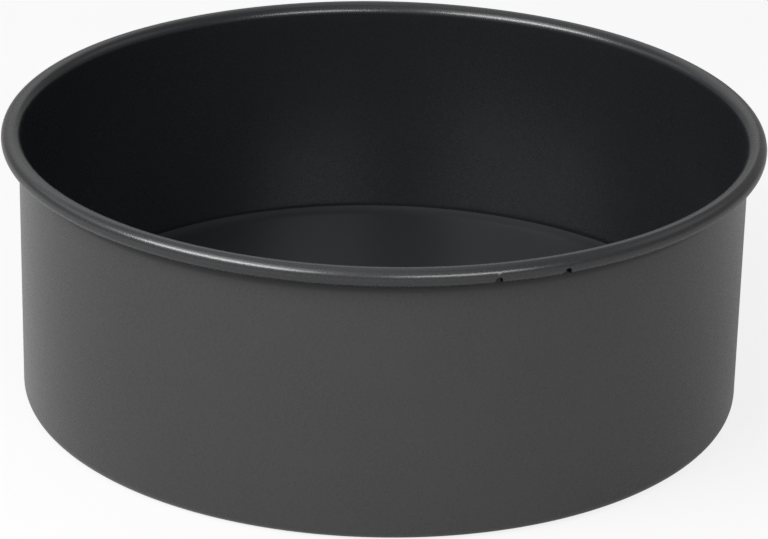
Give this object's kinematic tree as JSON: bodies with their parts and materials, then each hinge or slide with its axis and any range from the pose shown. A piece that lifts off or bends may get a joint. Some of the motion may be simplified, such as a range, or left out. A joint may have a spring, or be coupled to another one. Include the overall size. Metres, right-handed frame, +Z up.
{
  "type": "loose-bottom cake pan",
  "caption": "Deep round cake pan with a hollow rolled rim, a straight wall and a loose base that rests on an inner ledge and pushes up through the mouth.",
  "frame": {"origin": "on the table under the foot, on the pan's axis", "axes": "+Z up along the pan's axis, -Y to the front, +X to the right, with the rim's two notches to the right of the front"},
  "size_m": [0.2112, 0.2112, 0.078],
  "materials": {
    "ring_coating": "satin dark grey non-stick coating",
    "base_coating": "satin dark grey non-stick coating"
  },
  "bodies": {
    "ring": {"pan_ring": "ring_coating"},
    "base": {"loose_base": "base_coating"}
  },
  "joints": [
    {"name": "base_lift", "type": "slide", "parent": "ring", "child": "base", "axis": [0, 0, 1], "range_m": [0, 0.08]}
  ]
}
